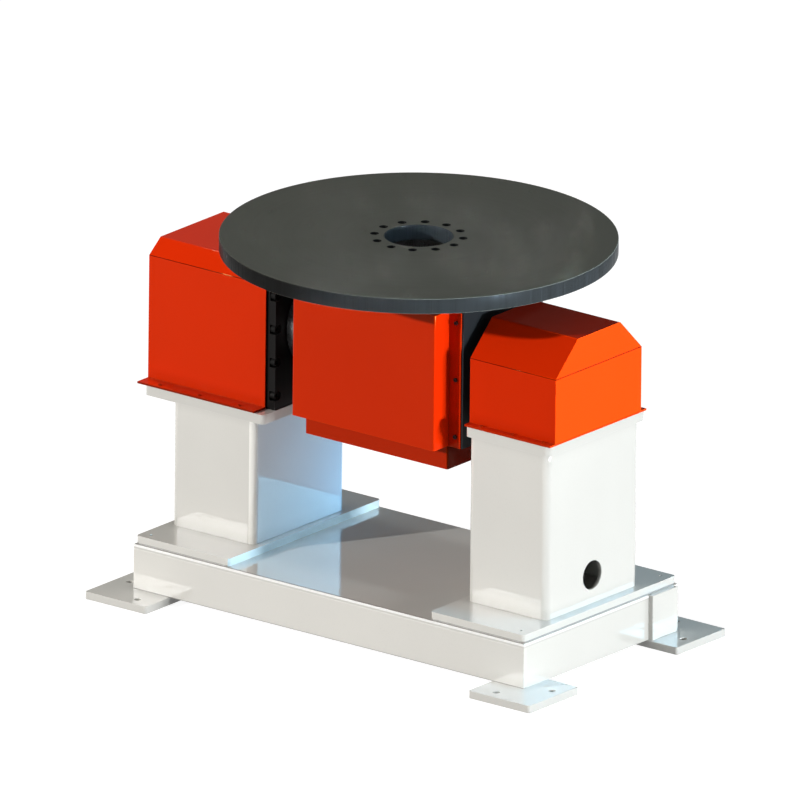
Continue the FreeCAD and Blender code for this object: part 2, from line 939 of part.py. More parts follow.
def bearing_caps():
    """A flanged ring on each face of the block, with a spigot that reaches the outer ring."""
    x = block_x()
    bearing = bearing_x()
    caps = []
    for face, ring_face, side in ((x[0], bearing[0], -1), (x[1], bearing[1], 1)):
        plate_x = sorted((face, face + side * cap_thickness))
        spigot_x = sorted((face, ring_face))
        plate = level(plate_x[0], cap_thickness, cap_radius)
        spigot_length = spigot_x[1] - spigot_x[0]
        spigot = level(spigot_x[0], spigot_length, bearing_outer_radius - running_gap)
        start = min(plate_x[0], spigot_x[0])
        hole = level(start, cap_thickness + spigot_length, nut_radius + cap_nut_gap)
        radius = cap_screw_radius + screw_gap
        screw_holes = [level(plate_x[0], cap_thickness, radius, y, z) for y, z in cap_screw_spots()]
        caps.append(without(joined(plate, [spigot]), [hole] + screw_holes))
    return Part.makeCompound(caps)


def bearing_cap_screws():
    """Socket screws through both caps into the bearing block."""
    x = block_x()
    length = cap_thickness + cap_screw_bite
    screws = []
    for face, side in ((x[0], -1), (x[1], 1)):
        for y, z in cap_screw_spots():
            seat = V(face + side * cap_thickness, y, z)
            screws.append(
                cap_screw(
                    seat, ALONG_X * -side, cap_screw_radius, cap_screw_head_radius, cap_screw_head, length
                )
            )
    return Part.makeCompound(screws)


def trunnion_x():
    """X of the outer face of the right side plate, where the trunnion flange seats."""
    return axis_x + frame_half_width


def right_trunnion():
    """The hollow stub shaft bolted to the right side plate, with a shoulder for the bearing."""
    start = trunnion_x()
    bearing = bearing_x()
    shoulder_end = bearing[0]
    end = bearing[1] + nut_thickness + trunnion_end
    flange = level(start, trunnion_flange, trunnion_flange_radius)
    shoulder = level(start, shoulder_end - start, trunnion_radius + trunnion_shoulder)
    shaft = level(start, end - start, trunnion_radius)
    whole = joined(flange, [shoulder, shaft])
    holes = [
        level(start, trunnion_screw_bite + tapped_extra, trunnion_screw_radius + running_gap, y, z)
        for y, z in trunnion_screw_spots(right_trunnion_screw_circle)
    ]
    return without(whole, [level(start, end - start, trunnion_bore)] + holes)


def trunnion_screw_spots(radius):
    """Y and Z of the screws through a side plate into its trunnion."""
    return circle_spots(trunnion_screw_count, radius, (axis_y, tilt_z), 30.0)


def shaft_nut():
    """The slotted ring nut that clamps the inner ring."""
    start = bearing_x()[1]
    ring = tube_along((start, start + nut_thickness), nut_radius, trunnion_radius + running_gap)
    slots = []
    for step in range(nut_slot_count):
        slot = block(
            (start, start + nut_thickness),
            about(axis_y, nut_slot_width / 2),
            (tilt_z + nut_radius - nut_slot_depth, tilt_z + nut_radius + 1.0),
        )
        slot.rotate(V(0, axis_y, tilt_z), ALONG_X, 360.0 * step / nut_slot_count)
        slots.append(slot)
    return without(ring, slots)


def bearing_rollers():
    """Rollers of the right bearing, between the two rings."""
    x = bearing_x()
    middle = (bearing_race_outer + bearing_race_inner) / 2
    radius = (bearing_race_outer - bearing_race_inner) / 2 - running_gap
    length = x[1] - x[0] - 2 * roller_shorter
    return Part.makeCompound(
        [
            level(x[0] + roller_shorter, length, radius, y, z)
            for y, z in circle_spots(roller_count, middle, (axis_y, tilt_z))
        ]
    )


def right_support():
    """Bearing block, bearing and caps on the right head plate."""
    x = bearing_x()
    bolts = [
        hex_screw(
            V(bx, by, right_head_top + block_foot_thickness),
            -UP,
            block_bolt_radius,
            block_bolt_head_radius,
            block_bolt_head,
            block_foot_thickness + block_bolt_bite,
        )
        for bx, by in block_bolt_spots()
    ]
    return {
        "bearing_block": bearing_block(),
        "bearing_outer_ring": tube_along(x, bearing_outer_radius - running_gap, bearing_race_outer),
        "bearing_caps": bearing_caps(),
        "bearing_cap_screws": bearing_cap_screws(),
        "bearing_block_bolts": Part.makeCompound(bolts),
    }


# Tilting frame


def side_plate(side):
    """A thick side plate of the tilting frame, bored for the trunnion."""
    x = outward(side, inner_frame_half, side_plate_thickness)
    plate = block(x, about(axis_y, frame_half_depth), (frame_bottom, side_plate_top))
    circle = right_trunnion_screw_circle if side > 0 else left_trunnion_screw_circle
    radius = trunnion_screw_radius + screw_gap
    holes = [level(x[0], side_plate_thickness, radius, y, z) for y, z in trunnion_screw_spots(circle)]
    holes.append(level(x[0], side_plate_thickness, trunnion_bore))
    holes.extend(cover_tapped_holes(side))
    return without(plate, holes)


def cover_screw_spots():
    """X side, Y side and height of the screws in the flanges of the two covers."""
    for side in SIDES:
        for end in SIDES:
            for step in (-1, 0, 1):
                yield side, end, tilt_z + step * cover_screw_pitch


def cover_tapped_holes(side):
    """Tapped holes for the cover screws in the front and rear edges of a side plate."""
    holes = []
    for hole_side, end, z in cover_screw_spots():
        if hole_side == side:
            start = V(axis_x + side * cover_screw_x, axis_y + end * frame_half_depth, z)
            holes.append(
                Part.makeCylinder(cover_screw_radius + running_gap, cover_screw_length, start, V(0, -end, 0))
            )
    return holes


def cover_screw(seat, direction, length):
    """One of the screws that hold the sheet covers of the frame."""
    return cap_screw(
        seat, direction, cover_screw_radius, cover_screw_head_radius, cover_screw_head, length
    )


def cover_screws():
    """Screws through the cover flanges, and from inside through the bottom plate into the tray rim."""
    screws = []
    for side, end, z in cover_screw_spots():
        seat = V(axis_x + side * cover_screw_x, axis_y + end * (frame_half_depth + sheet), z)
        screws.append(cover_screw(seat, V(0, -end, 0), cover_screw_length))
    tray_seat = frame_bottom + bottom_plate_thickness
    tray_length = bottom_plate_thickness + sheet + tray_screw_reach
    for hx, hy in tray_screw_spots():
        screws.append(cover_screw(V(hx, hy, tray_seat), -UP, tray_length))
    return Part.makeCompound(screws)


def cover(end):
    """A folded pan over the front or the back of the tilting frame, flanged at both sides."""
    near = axis_y + end * frame_half_depth
    far = axis_y + end * (frame_half_depth + cover_depth)
    x = about(axis_x, cover_half_width)
    z = (tilt_z - cover_drop, tilt_z + cover_rise)
    outside = rounded_plate(x, sorted((near, far)), z, fold_radius)
    outside = joined(outside, [block(x, sorted((near, near + end * 2 * fold_radius)), z)])
    hollow_x = about(axis_x, cover_half_width - sheet)
    hollow_y = sorted((near - end * 1.0, far - end * sheet))
    pan = outside.cut(block(hollow_x, hollow_y, (z[0] + sheet, z[1] - sheet)))
    flange_y = sorted((near, near + end * sheet))
    flange_start = cover_half_width - sheet
    flange_width = cover_flange_reach - flange_start
    flanges = [block(outward(side, flange_start, flange_width), flange_y, z) for side in SIDES]
    pan = joined(pan, flanges)
    holes = []
    for side, hole_end, hole_z in cover_screw_spots():
        if hole_end == end:
            start = V(axis_x + side * cover_screw_x, near - end * 1.0, hole_z)
            holes.append(
                Part.makeCylinder(cover_screw_radius + screw_gap, sheet + 2.0, start, V(0, end, 0))
            )
    return without(pan, holes)


def tray_screw_spots():
    """X and Y of the screws that hold the lower tray."""
    y = frame_half_depth - tray_return / 2 - sheet / 2
    pitch = 2 * tray_screw_x / (tray_screw_count - 1)
    for end in SIDES:
        for step in range(tray_screw_count):
            yield axis_x - tray_screw_x + pitch * step, axis_y + end * y


def tray_x(inset):
    """X range of the tray, drawn in by a distance at both ends."""
    return (axis_x - tray_left_reach + inset, axis_x + tray_right_reach - inset)


def lower_tray():
    """The pan below the frame, with return flanges at its rim."""
    y = about(axis_y, frame_half_depth)
    z = (frame_bottom - tray_depth, frame_bottom)
    pan = block(tray_x(0.0), y, z)
    folds = [e for e in pan.Edges if is_upright(e)]
    pan = pan.makeFillet(fold_radius, folds)
    hollow = block(tray_x(sheet), about(axis_y, frame_half_depth - sheet), (z[0] + sheet, z[1] - sheet))
    mouth_y = about(axis_y, frame_half_depth - tray_return)
    mouth = block(tray_x(tray_return), mouth_y, (z[1] - 2 * sheet, z[1] + 1.0))
    radius = cover_screw_radius + screw_gap
    holes = [upright(hx, hy, z[1] - sheet, sheet, radius) for hx, hy in tray_screw_spots()]
    return without(pan, [hollow, mouth] + holes)


def bottom_plate():
    """The floor of the tilting frame, open in the middle towards the tray."""
    plate = block(
        about(axis_x, inner_frame_half),
        about(axis_y, frame_half_depth),
        (frame_bottom, frame_bottom + bottom_plate_thickness),
    )
    opening = rounded_plate(
        about(axis_x, bottom_opening_half_x),
        about(axis_y, bottom_opening_half_y),
        (frame_bottom, frame_bottom + bottom_plate_thickness),
        bottom_opening_corner,
    )
    holes = [
        upright(hx, hy, frame_bottom, bottom_plate_thickness, cover_screw_radius + screw_gap)
        for hx, hy in tray_screw_spots()
    ]
    return without(plate, [opening] + holes)


def top_plate():
    """The plate that carries the slewing bearing."""
    plate = block(
        about(axis_x, frame_half_width), about(axis_y, frame_half_depth), (side_plate_top, frame_top)
    )
    bore = upright(axis_x, axis_y, side_plate_top, top_plate_thickness, hub_radius + hub_bore_gap)
    depth = slew_screw_length - (slew_outer_top - frame_top) + slew_screw_head + tapped_extra
    holes = [
        upright(hx, hy, frame_top - depth, depth, slew_screw_radius + running_gap)
        for hx, hy in slew_screw_spots()
    ]
    return without(plate, [bore] + holes)


def drive_shelf():
    """The shelf inside the frame that carries the rotation drive, with a way through for cables."""
    z = (shelf_bottom, shelf_top)
    shelf = block(about(axis_x, inner_frame_half), about(axis_y, frame_half_depth), z)
    tongue_y = (axis_y - shelf_tongue_reach, axis_y - frame_half_depth)
    shelf = joined(shelf, [block(about(axis_x, shelf_tongue_half), tongue_y, z)])
    cable_way = min(cable_way_radius, pinion_reach - spin_reducer_pilot - shelf_web)
    cutters = [
        upright(axis_x, axis_y, shelf_bottom, shelf_thickness, cable_way),
        upright(axis_x, pinion_y, shelf_bottom, shelf_thickness, spin_reducer_pilot + running_gap),
    ]
    return without(shelf, cutters)


def output_flange():
    """The output of the tilt reducer: a hub in the reducer case and a disc on the left side plate."""
    plate_face = axis_x - frame_half_width
    inner_face = axis_x - bearing_plate_inner + output_flange_gap
    disc = level(inner_face, plate_face - inner_face, output_flange_radius)
    hub_start = reducer_back() - reducer_length + reducer_end_wall + output_hub_gap
    hub = level(hub_start, plate_face - hub_start, output_hub_radius)
    whole = joined(disc, [hub])
    depth = trunnion_screw_bite + tapped_extra
    holes = [
        level(plate_face - depth, depth, trunnion_screw_radius + running_gap, y, z)
        for y, z in trunnion_screw_spots(left_trunnion_screw_circle)
    ]
    return without(whole, holes)


def trunnion_screws():
    """Socket screws from inside the frame into both trunnions."""
    screws = []
    length = side_plate_thickness + trunnion_screw_bite
    for side, circle in ((-1, left_trunnion_screw_circle), (1, right_trunnion_screw_circle)):
        seat_x = axis_x + side * inner_frame_half
        for y, z in trunnion_screw_spots(circle):
            screws.append(
                cap_screw(
                    V(seat_x, y, z),
                    ALONG_X * side,
                    trunnion_screw_radius,
                    trunnion_screw_head_radius,
                    trunnion_screw_head,
                    length,
                )
            )
    return Part.makeCompound(screws)


def frame_pieces():
    """Plates, covers and trunnions of the tilting frame."""
    bearing = bearing_x()
    return {
        "frame_left_plate": side_plate(-1),
        "frame_right_plate": side_plate(1),
        "frame_top_plate": top_plate(),
        "frame_bottom_plate": bottom_plate(),
        "frame_drive_shelf": drive_shelf(),
        "front_cover": cover(-1),
        "rear_cover": cover(1),
        "cover_screws": cover_screws(),
        "lower_tray": lower_tray(),
        "tilt_output_flange": output_flange(),
        "right_trunnion": right_trunnion(),
        "trunnion_screws": trunnion_screws(),
        "bearing_inner_ring": tube_along(bearing, bearing_race_inner, trunnion_radius + running_gap),
        "bearing_rollers": bearing_rollers(),
        "trunnion_nut": shaft_nut(),
    }


# Rotation drive


def slew_screw_spots():
    """X and Y of the screws through the outer ring of the slewing bearing."""
    first = 180.0 / slew_screw_count
    return circle_spots(slew_screw_count, slew_screw_circle, (axis_x, axis_y), first)


def slew_outer_ring():
    """The fixed ring of the slewing bearing, grooved for its rollers."""
    z = (frame_top, slew_outer_top)
    ring = tube_up(axis_x, axis_y, z, slew_outer_radius, slew_race_inner + slew_lip)
    groove_z = (frame_top + slew_lip_height, slew_outer_top - slew_lip_height)
    cutters = [tube_up(axis_x, axis_y, groove_z, slew_race_outer, slew_race_inner)]
    for hx, hy in slew_screw_spots():
        height = slew_outer_top - frame_top
        cutters.append(upright(hx, hy, frame_top, height, slew_screw_radius + screw_gap))
        pocket_z = slew_outer_top - slew_screw_head
        cutters.append(upright(hx, hy, pocket_z, slew_screw_head, slew_screw_head_radius + screw_gap))
    return without(ring, cutters)


def slew_rollers():
    """Upright rollers in the groove of the outer ring."""
    z0 = frame_top + slew_lip_height + running_gap
    height = slew_outer_top - slew_lip_height - running_gap - z0
    middle = (slew_race_outer + slew_race_inner) / 2
    radius = (slew_race_outer - slew_race_inner) / 2 - 2 * running_gap
    return Part.makeCompound(
        [
            upright(hx, hy, z0, height, radius)
            for hx, hy in circle_spots(slew_roller_count, middle, (axis_x, axis_y))
        ]
    )


def slew_screws():
    """Socket screws of the outer ring, sunk into it."""
    return Part.makeCompound(
        [
            cap_screw(
                V(hx, hy, slew_outer_top - slew_screw_head),
                -UP,
                slew_screw_radius,
                slew_screw_head_radius,
                slew_screw_head - slew_screw_sink,
                slew_screw_length,
            )
            for hx, hy in slew_screw_spots()
        ]
    )


def table_screw_spots():
    """X and Y of the screws around the bore of the table."""
    return circle_spots(table_screw_count, table_screw_circle, (axis_x, axis_y))


def gear_screw_spots():
    """X and Y of the screws that hold the gear, between the table screws."""
    first = 180.0 / table_screw_count
    return circle_spots(gear_screw_count, gear_screw_circle, (axis_x, axis_y), first)


def slew_inner_ring():
    """The turning ring of the slewing bearing, screwed to the table."""
    z = (slew_inner_bottom, table_bottom)
    ring = tube_up(axis_x, axis_y, z, slew_race_inner, slew_bore)
    height = z[1] - z[0]
    depth = min(table_screw_bite + tapped_extra, height)
    holes = [
        upright(hx, hy, z[1] - depth, depth, table_screw_radius + running_gap)
        for hx, hy in table_screw_spots()
    ]
    depth = gear_screw_depth() + tapped_extra
    holes.extend(
        upright(hx, hy, z[0], depth, gear_screw_radius + running_gap) for hx, hy in gear_screw_spots()
    )
    return without(ring, holes)


def gear_screw_depth():
    """How far the gear screws reach into the turning ring."""
    return 0.5 * (table_bottom - slew_inner_bottom)


def table_plate():
    """The round table with its centre bore and a ring of counterbored screw holes."""
    plate = tube_up(axis_x, axis_y, (table_bottom, table_top), table_radius, table_bore_radius)
    rims = [e for e in plate.Edges if e.Length > 2 * math.pi * table_bore_radius + 1.0]
    plate = plate.makeChamfer(table_edge, rims)
    cutters = []
    for hx, hy in table_screw_spots():
        cutters.append(upright(hx, hy, table_bottom, table_thickness, table_screw_radius + screw_gap))
        pocket_z = table_top - table_pocket_depth
        cutters.append(upright(hx, hy, pocket_z, table_pocket_depth, table_pocket_radius))
    return without(plate, cutters)


def table_screws():
    """Socket screws at the bottom of the pockets of the table."""
    seat_z = table_top - table_pocket_depth
    length = table_thickness - table_pocket_depth + table_screw_bite
    return Part.makeCompound(
        [
            cap_screw(
                V(hx, hy, seat_z), -UP, table_screw_radius, table_screw_head_radius, table_screw_head, length
            )
            for hx, hy in table_screw_spots()
        ]
    )


def involute_point(base_radius, radius):
    """Angle by which an involute has turned when it reaches a radius."""
    if radius <= base_radius:
        return 0.0
    roll = math.sqrt((radius / base_radius) ** 2 - 1.0)
    return roll - math.atan(roll)


def tooth_outline(teeth, middle, phase):
    """Points of a spur gear with involute flanks, one tooth centred on the phase angle in degrees."""
    pitch = gear_module * teeth / 2
    base = pitch * math.cos(math.radians(pressure_angle))
    tip = pitch + gear_module
    root = pitch - tooth_root * gear_module
    at_pitch = involute_point(base, pitch)
    half_tooth = (math.pi * gear_module / 2 - tooth_play) / (2 * pitch)
    flank = []
    for radius in (root, max(base, root), pitch, (pitch + tip) / 2, tip):
        flank.append((radius, half_tooth + at_pitch - involute_point(base, radius)))
    if base < root:
        flank.pop(0)
    points = []
    for tooth in range(teeth):
        centre = math.radians(phase) + 2 * math.pi * tooth / teeth
        rising = [(r, centre - a) for r, a in flank]
        falling = [(r, centre + a) for r, a in reversed(flank)]
        for r, a in rising + falling:
            points.append((middle[0] + r * math.cos(a), middle[1] + r * math.sin(a)))
    return points


def spur(teeth, middle, phase, z0, width):
    """A spur gear blank with its teeth, no bore."""
    points = [V(px, py, z0) for px, py in tooth_outline(teeth, middle, phase)]
    return Part.Face(Part.makePolygon(points + points[:1])).extrude(V(0, 0, width))


def table_gear():
    """The large gear that turns the table; one tooth points at the pinion."""
    gear = spur(gear_teeth, (axis_x, axis_y), -90.0, gear_bottom, gear_width)
    cutters = [upright(axis_x, axis_y, gear_bottom, gear_width, slew_bore)]
    for hx, hy in gear_screw_spots():
        cutters.append(upright(hx, hy, gear_bottom, gear_width, gear_screw_radius + screw_gap))
    return without(gear, cutters)


def table_hub():
    """The sleeve between gear and slewing bearing, through the top plate."""
    z = (gear_top, slew_inner_bottom)
    hub = tube_up(axis_x, axis_y, z, hub_radius, slew_bore)
    return without(
        hub,
        [
            upright(hx, hy, z[0], z[1] - z[0], gear_screw_radius + screw_gap)
            for hx, hy in gear_screw_spots()
        ],
    )


def gear_screws():
    """Screws from below through gear and sleeve into the turning ring."""
    length = slew_inner_bottom - gear_bottom + gear_screw_depth()
    return Part.makeCompound(
        [
            hex_screw(
                V(hx, hy, gear_bottom),
                UP,
                gear_screw_radius,
                gear_screw_head_radius,
                gear_screw_head,
                length,
            )
            for hx, hy in gear_screw_spots()
        ]
    )


def drive_pinion():
    """The pinion and its shaft, in mesh with the table gear."""
    z0 = gear_bottom - pinion_extra
    width = gear_width + 2 * pinion_extra
    phase = 90.0 + 180.0 / pinion_teeth
    teeth = spur(pinion_teeth, (axis_x, pinion_y), phase, z0, width)
    shaft_bottom = shelf_bottom - spin_shaft_depth
    shaft = upright(axis_x, pinion_y, shaft_bottom, z0 + width - shaft_bottom, pinion_shaft_radius)
    return joined(teeth, [shaft])


def spin_reducer():
    """The planetary reducer under the shelf: square flange, round body, pilot in the shelf."""
    flange = rounded_plate(
        about(axis_x, spin_reducer_half),
        about(pinion_y, spin_reducer_half),
        (shelf_bottom - spin_reducer_flange, shelf_bottom),
        spin_reducer_corner,
    )
    body = upright(
        axis_x, pinion_y, shelf_bottom - spin_reducer_length, spin_reducer_length, spin_reducer_body_radius
    )
    pilot = upright(axis_x, pinion_y, shelf_bottom, spin_reducer_pilot_height, spin_reducer_pilot)
    depth = spin_shaft_depth + spin_shaft_gap
    bore = upright(
        axis_x,
        pinion_y,
        shelf_bottom - depth,
        depth + spin_reducer_pilot_height,
        pinion_shaft_radius + running_gap,
    )
    return joined(flange, [body, pilot]).cut(bore)


def spin_drive():
    """Reducer, motor and connector box of the rotation drive."""
    top = shelf_bottom - spin_reducer_length
    place = V(axis_x, pinion_y, top - spin_motor_length)
    standing = motor(spin_motor_half, spin_motor_length)
    plugs = motor_plugs(spin_motor_half)
    standing.translate(place)
    plugs.translate(place)
    return {"spin_reducer": spin_reducer(), "spin_motor": standing, "spin_motor_plugs": plugs}


def slew_pieces():
    """Slewing bearing, gear train and table."""
    return {
        "slew_outer_ring": slew_outer_ring(),
        "slew_rollers": slew_rollers(),
        "slew_screws": slew_screws(),
        "slew_inner_ring": slew_inner_ring(),
        "table_hub": table_hub(),
        "table_gear": table_gear(),
        "gear_screws": gear_screws(),
        "table_plate": table_plate(),
        "table_screws": table_screws(),
        "drive_pinion": drive_pinion(),
    }


def stand_pieces():
    """Feet, columns, head plates and hoods."""
    pieces = {}
    for side_y, end in ((-1, "front"), (1, "rear")):
        for side_x, side in ((-1, "left"), (1, "right")):
            pieces[f"foot_{end}_{side}"] = foot(side_x, side_y)
    left_head = head_plate(-1, left_head_inner, left_head_width, left_head_half_depth, left_head_bottom)
    right_head = head_plate(1, right_head_inner, right_head_width, right_head_half_depth, right_head_bottom)
    bolt_holes = [
        upright(bx, by, right_head_bottom, head_thickness, block_bolt_radius + running_gap)
        for bx, by in block_bolt_spots()
    ]
    pieces["left_column_foot"] = column_foot(-1, left_column_foot_inner, left_column_foot_width)
    pieces["right_column_foot"] = column_foot(1, right_column_foot_inner, right_column_foot_width)
    pieces["left_column"] = column(-1, left_column_inner, left_column_width, left_column_height)
    pieces["right_column"] = right_column()
    pieces["left_head_plate"] = tapped_head(left_head, left_hood_row, left_head_top, left_hood_flange)
    pieces["right_head_plate"] = without(
        tapped_head(right_head, right_hood_row, right_head_top, right_hood_flange), bolt_holes
    )
    return pieces


def hood_pieces():
    """Both hoods and their screws."""
    left = hood(
        left_hood_x,
        -1,
        left_head_top,
        left_hood_wall,
        left_hood_roof_half,
        left_hood_height,
        left_hood_flange,
        left_hood_row,
    )
    right = hood(
        right_hood_x,
        1,
        right_head_top,
        right_hood_wall,
        right_hood_roof_half,
        right_hood_height,
        right_hood_flange,
        right_hood_row,
    )
    screws = hood_screws(left_hood_row, left_head_top, left_hood_flange)
    screws += hood_screws(right_hood_row, right_head_top, right_hood_flange)
    return {"left_hood": left, "right_hood": right, "hood_screws": Part.makeCompound(screws)}


def left_support():
    """Bearing plate, gussets, reducer and tilt drive on the left head plate."""
    pieces = {
        "bearing_plate": bearing_plate(),
        "bearing_plate_gussets": gussets(),
        "bearing_plate_screws": plate_screws(),
        "tilt_reducer_case": tilt_reducer_case(),
        "tilt_reducer_screws": reducer_screws(),
    }
    pieces.update(tilt_drive())
    return pieces


def main():
    pieces = {}
    groups = (
        base_pieces,
        stand_pieces,
        hood_pieces,
        left_support,
        right_support,
        frame_pieces,
        spin_drive,
        slew_pieces,
    )
    for group in groups:
        pieces.update(group())
    os.makedirs("parts", exist_ok=True)
    for name, shape in pieces.items():
        if not shape.isValid():
            print("not valid:", name)
        shape.exportStep(f"parts/{name}.step")
    print(len(pieces), "parts")


main()
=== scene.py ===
import bpy
import json
import math
from mathutils import Matrix, Vector

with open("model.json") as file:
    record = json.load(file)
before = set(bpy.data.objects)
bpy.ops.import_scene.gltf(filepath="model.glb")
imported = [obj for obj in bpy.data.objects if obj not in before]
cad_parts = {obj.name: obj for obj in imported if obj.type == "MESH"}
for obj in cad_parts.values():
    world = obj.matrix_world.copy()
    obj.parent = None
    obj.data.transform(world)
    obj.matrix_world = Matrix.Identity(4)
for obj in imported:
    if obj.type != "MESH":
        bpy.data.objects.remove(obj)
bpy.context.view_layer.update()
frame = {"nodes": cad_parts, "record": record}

# Numbers of the axes
Y, Z = 1, 2

# The table, in metres: its axis, the radius of its bore, and a reach between its holes and its rim
AXIS_X, AXIS_Y = 0.015, 0.014
BORE_RADIUS = 0.0875
BORE_TOLERANCE = 0.002
RIM_REACH = 0.3

# Height of a face's unit normal: the table's faces are upright up to the first, and a fine line
# takes a face as level from the second
UPRIGHT_UP_TO, LEVEL_FROM = 0.6, 0.55

# Colours as a fraction of full light
WHITE = (0.72, 0.71, 0.675)
ORANGE = (0.66, 0.024, 0.001)
DARK = (0.022, 0.026, 0.031)
BLACK = (0.012, 0.012, 0.013)
SKY = (0.18, 0.175, 0.165)
FLOOR = (0.30, 0.30, 0.30)
FLOOR_GLOW = (0.93, 0.93, 0.93)
WARM_LIGHT = (1.0, 0.98, 0.94)

# Bright edges of a coat, partly wear and partly painted highlight: the radius in metres, and the
# least and most of the edge colour
WORN_HIGHLIT_EDGE = (0.0016, 0.35, 0.9)
FAINT_HIGHLIT_EDGE = (0.0016, 0.0, 0.3)

# Shade of a fine line, as a factor on the coat's colour: most dark lines are painted shade, and the
# light line is a painted highlight
DARK_LINE, HIGHLIGHT_LINE = 0.12, 1.8

# Height of a hood's lower fold above its lowest point, in metres
LEFT_FOLD, RIGHT_FOLD = 0.3275, 0.174

scene = bpy.context.scene
scene.view_settings.view_transform = "Standard"


# ---------------------------------------------------------------- camera
def make_camera():
    """A parallel camera at the photo's viewing angle, which was fitted to the photo's edges."""
    right = Vector((0.78642, 0.61762, 0.00954))
    up = Vector((-0.20337, 0.24430, 0.94813))
    middle = Vector((-0.1251, 0.1238, 0.5156))
    view_width, distance = 2.0, 5.0
    back = right.cross(up).normalized()
    right.normalize()
    up = back.cross(right)
    data = bpy.data.cameras.new("camera")
    data.type = "ORTHO"
    data.ortho_scale = view_width
    data.clip_start = 0.1
    data.clip_end = 60.0
    camera = bpy.data.objects.new("camera", data)
    scene.collection.objects.link(camera)
    place = middle + back * distance
    camera.matrix_world = Matrix((
        (right.x, up.x, back.x, place.x),
        (right.y, up.y, back.y, place.y),
        (right.z, up.z, back.z, place.z),
        (0, 0, 0, 1),
    ))
    scene.camera = camera


# ---------------------------------------------------------------- node helpers
class Graph:
    """A material's node tree, with short calls for the nodes used here."""

    def __init__(self, name, **values):
        self.material = bpy.data.materials.new(name)
        self.material.use_nodes = True
        self.tree = self.material.node_tree
        self.tree.nodes.clear()
        out = self.tree.nodes.new("ShaderNodeOutputMaterial")
        self.shader = self.tree.nodes.new("ShaderNodeBsdfPrincipled")
        self.tree.links.new(self.shader.outputs["BSDF"], out.inputs["Surface"])
        self.place = self.tree.nodes.new("ShaderNodeTexCoord").outputs["Object"]
        for socket, value in values.items():
            self.shader.inputs[socket.replace("_", " ")].default_value = value

    def surface(self, colour, roughness, normal):
        """Feeds the shader what varies over the surface, and returns the material."""
        self.feed(self.shader.inputs["Base Color"], colour)
        self.feed(self.shader.inputs["Roughness"], roughness)
        self.feed(self.shader.inputs["Normal"], normal)
        return self.material

    def feed(self, socket, value):
        if isinstance(value, bpy.types.NodeSocket):
            self.tree.links.new(value, socket)
        else:
            socket.default_value = value

    def math(self, operation, a, b=0.0):
        node = self.tree.nodes.new("ShaderNodeMath")
        node.operation = operation
        self.feed(node.inputs[0], a)
        self.feed(node.inputs[1], b)
        return node.outputs[0]

    def vector(self, operation, a, b=(0, 0, 0)):
        node = self.tree.nodes.new("ShaderNodeVectorMath")
        node.operation = operation
        self.feed(node.inputs[0], a)
        self.feed(node.inputs[1], b)
        return node.outputs["Value" if operation in ("LENGTH", "DOT_PRODUCT") else "Vector"]

    def noise(self, scale, detail, roughness=0.5, place=None, distortion=0.0):
        node = self.tree.nodes.new("ShaderNodeTexNoise")
        self.feed(node.inputs["Vector"], self.place if place is None else place)
        self.feed(node.inputs["Scale"], scale)
        self.feed(node.inputs["Detail"], detail)
        self.feed(node.inputs["Roughness"], roughness)
        self.feed(node.inputs["Distortion"], distortion)
        return node.outputs[0]

    def remap(self, value, low, high, new_low, new_high):
        node = self.tree.nodes.new("ShaderNodeMapRange")
        for socket, number in zip(node.inputs, (value, low, high, new_low, new_high)):
            self.feed(socket, number)
        return node.outputs[0]

    def mix_colour(self, factor, a, b):
        node = self.tree.nodes.new("ShaderNodeMix")
        node.data_type = "RGBA"
        inputs = [s for s in node.inputs if s.type == "RGBA"]
        self.feed([s for s in node.inputs if s.name == "Factor"][0], factor)
        self.feed(inputs[0], (*a, 1) if isinstance(a, tuple) else a)
        self.feed(inputs[1], (*b, 1) if isinstance(b, tuple) else b)
        return [s for s in node.outputs if s.type == "RGBA"][0]

    def bump(self, height, strength, distance, normal=None):
        node = self.tree.nodes.new("ShaderNodeBump")
        self.feed(node.inputs["Strength"], strength)
        self.feed(node.inputs["Distance"], distance)
        self.feed(node.inputs["Height"], height)
        if normal is not None:
            self.feed(node.inputs["Normal"], normal)
        return node.outputs["Normal"]

    def edges(self, radius):
        """1 near the edges of the solid and 0 on its flat faces."""
        bevel = self.tree.nodes.new("ShaderNodeBevel")
        bevel.samples = 4
        bevel.inputs["Radius"].default_value = radius
        geometry = self.tree.nodes.new("ShaderNodeNewGeometry")
        dot = self.vector("DOT_PRODUCT", bevel.outputs["Normal"], geometry.outputs["Normal"])
        return self.remap(dot, 0.995, 0.9, 0.0, 1.0)

    def upward(self):
        """1 on a face that looks up, 0 on an upright one, -1 on one that looks down."""
        geometry = self.tree.nodes.new("ShaderNodeNewGeometry")
        split = self.tree.nodes.new("ShaderNodeSeparateXYZ")
        self.feed(split.inputs[0], geometry.outputs["True Normal"])
        return split.outputs[Z]

    def band(self, axis, middle, half_width):
        """1 in a narrow band: round a height on upright faces, round an X or Y on level ones."""
        split = self.tree.nodes.new("ShaderNodeSeparateXYZ")
        self.feed(split.inputs[0], self.place)
        off = self.math("ABSOLUTE", self.math("SUBTRACT", split.outputs[axis], middle))
        faded = half_width * 1.4
        near = self.remap(off, half_width, faded, 1.0, 0.0)
        side = "LESS_THAN" if axis == Z else "GREATER_THAN"
        wanted = self.math(side, self.math("ABSOLUTE", self.upward()), LEVEL_FROM)
        return self.math("MULTIPLY", near, wanted)

    def corners(self, distance):
        """1 deep in the inside corners and 0 on open faces."""
        node = self.tree.nodes.new("ShaderNodeAmbientOcclusion")
        node.samples = 4
        node.inputs["Distance"].default_value = distance
        return self.remap(node.outputs["AO"], 0.55, 1.0, 1.0, 0.0)


def scaled(colour, factor):
    """A colour made darker or lighter, and never more than full light."""
    return tuple(min(1.0, c * factor) for c in colour)


